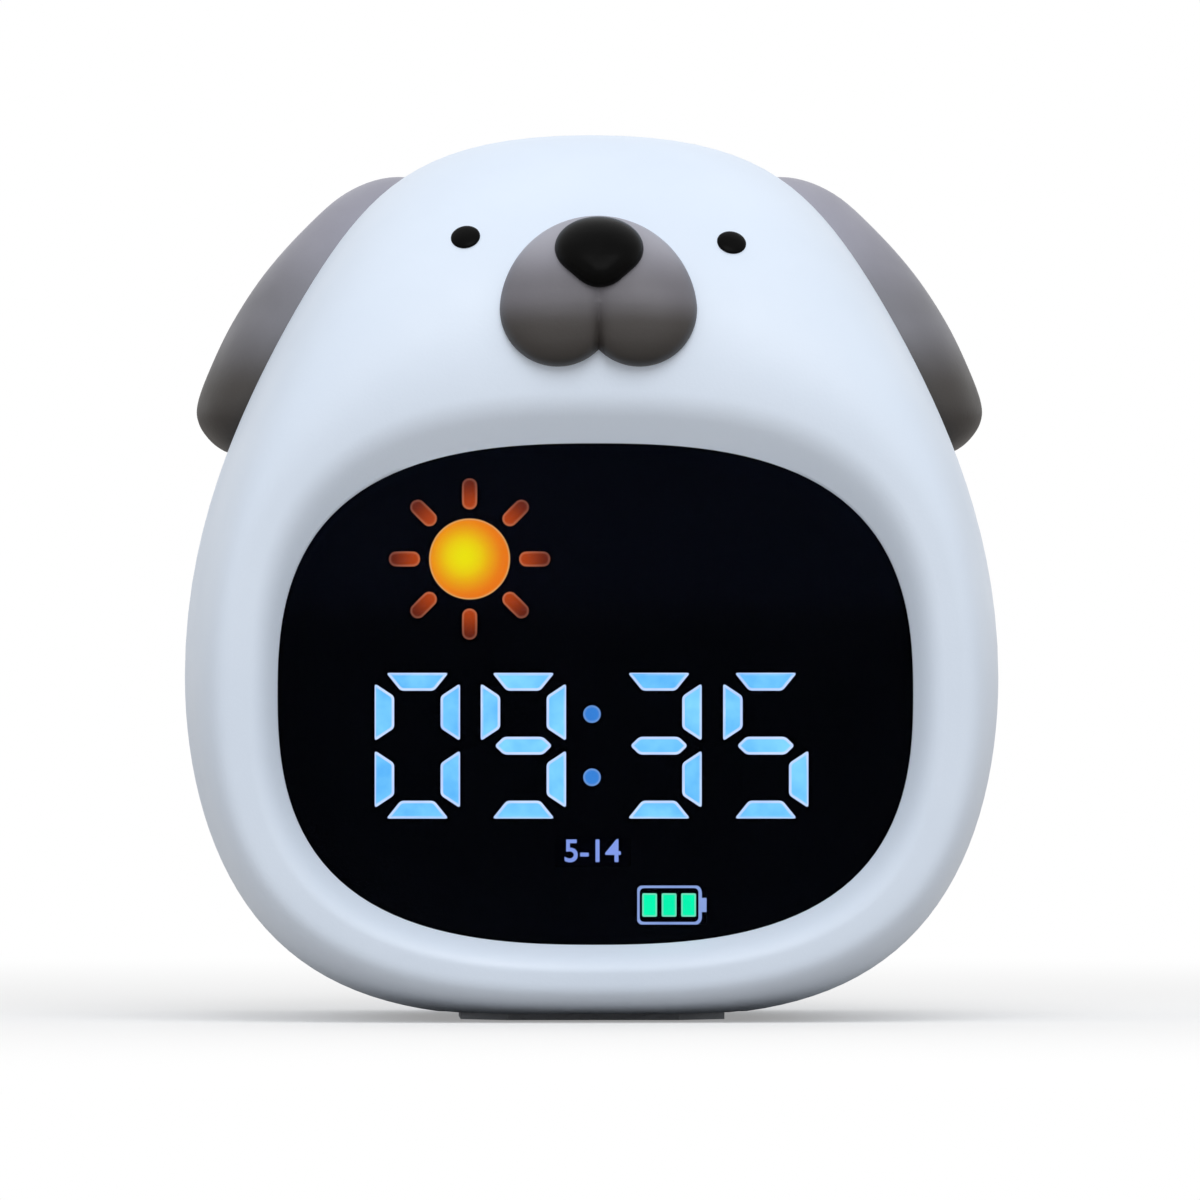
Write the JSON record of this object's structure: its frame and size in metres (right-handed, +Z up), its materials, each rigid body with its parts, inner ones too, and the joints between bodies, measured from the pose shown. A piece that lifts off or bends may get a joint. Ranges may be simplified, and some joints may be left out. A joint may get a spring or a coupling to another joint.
{
  "type": "bedside clock",
  "caption": "Child's digital alarm clock shaped as a round puppy head, with a dark display window, side ears, and sprung buttons, a slide switch and a speaker grille on the back.",
  "frame": {"origin": "centre of the footprint of the whole clock, on the surface it stands on", "axes": "+Z up, the display faces -Y, +X to the right as seen from the front"},
  "size_m": [0.105, 0.086, 0.114],
  "materials": {
    "housing": "smooth satin",
    "screw_steel": "satin",
    "pad_rubber": "matte",
    "muzzle_plastic": "satin",
    "black_gloss": "gloss",
    "ear_plastic": "satin",
    "tape": "matte",
    "smoked_lens": "gloss",
    "black_film": "matte",
    "reflector_plastic": "matte",
    "digit_blue": "lit",
    "colon_blue": "lit",
    "sun_orange": "lit",
    "date_blue": "lit",
    "battery_green": "lit",
    "circuit_board": "satin",
    "led_resin": "gloss",
    "chip_resin": "matte",
    "switch_plastic": "matte",
    "socket_steel": "satin",
    "cone_film": "satin",
    "lead_insulation": "satin",
    "battery_wrap": "satin",
    "connector_plastic": "satin",
    "diffuser_plastic": "satin, translucent",
    "slider_plastic": "satin",
    "button_plastic": "satin"
  },
  "bodies": {
    "clock": {"base_pad": "pad_rubber", "battery_cell": "battery_wrap", "battery_icon": "battery_green", "battery_leads": "lead_insulation", "battery_socket": "connector_plastic", "battery_tape": "tape", "case_screws": "screw_steel", "colon_dots": "colon_blue", "date_window": "date_blue", "digit_segments": "digit_blue", "display_board": "circuit_board", "display_driver": "chip_resin", "display_leds": "led_resin", "display_lens": "smoked_lens", "display_mask": "black_film", "display_reflector": "reflector_plastic", "ear_left": "ear_plastic", "ear_right": "ear_plastic", "eye_left": "black_gloss", "eye_right": "black_gloss", "front_shell": "housing", "lens_tape": "tape", "light_board": "circuit_board", "light_diffuser": "diffuser_plastic", "light_leds": "led_resin", "main_board": "circuit_board", "main_chips": "chip_resin", "muzzle": "muzzle_plastic", "nose": "black_gloss", "rear_shell": "housing", "ribbon_cable": "connector_plastic", "ribbon_sockets": "connector_plastic", "slide_switch": "switch_plastic", "speaker_cone": "cone_film", "speaker_frame": "switch_plastic", "speaker_leads": "lead_insulation", "speaker_magnet": "socket_steel", "sun_icon": "sun_orange", "tact_switches": "switch_plastic", "usb_socket": "socket_steel", "usb_tongue": "switch_plastic"},
    "mode_button": {"button_mode": "button_plastic", "button_mode_plunger": "switch_plastic"},
    "minus_button": {"button_minus": "button_plastic", "button_minus_plunger": "switch_plastic"},
    "plus_button": {"button_plus": "button_plastic", "button_plus_plunger": "switch_plastic"},
    "light_button": {"button_light": "button_plastic", "button_light_plunger": "switch_plastic"},
    "alarm_switch": {"alarm_slider": "slider_plastic"}
  },
  "joints": [
    {"name": "press_mode", "type": "slide", "parent": "clock", "child": "mode_button", "axis": [0, -1, 0], "range_m": [0, 0.0005], "stiffness_N_per_m": 1200, "springref_m": -0.0004},
    {"name": "press_minus", "type": "slide", "parent": "clock", "child": "minus_button", "axis": [0, -1, 0], "range_m": [0, 0.0005], "stiffness_N_per_m": 1200, "springref_m": -0.0004},
    {"name": "press_plus", "type": "slide", "parent": "clock", "child": "plus_button", "axis": [0, -1, 0], "range_m": [0, 0.0005], "stiffness_N_per_m": 1200, "springref_m": -0.0004},
    {"name": "press_light", "type": "slide", "parent": "clock", "child": "light_button", "axis": [0, -1, 0], "range_m": [0, 0.0005], "stiffness_N_per_m": 1200, "springref_m": -0.0004},
    {"name": "slide_alarm", "type": "slide", "parent": "clock", "child": "alarm_switch", "axis": [1, 0, 0], "range_m": [-0.0015, 0.0015]}
  ]
}
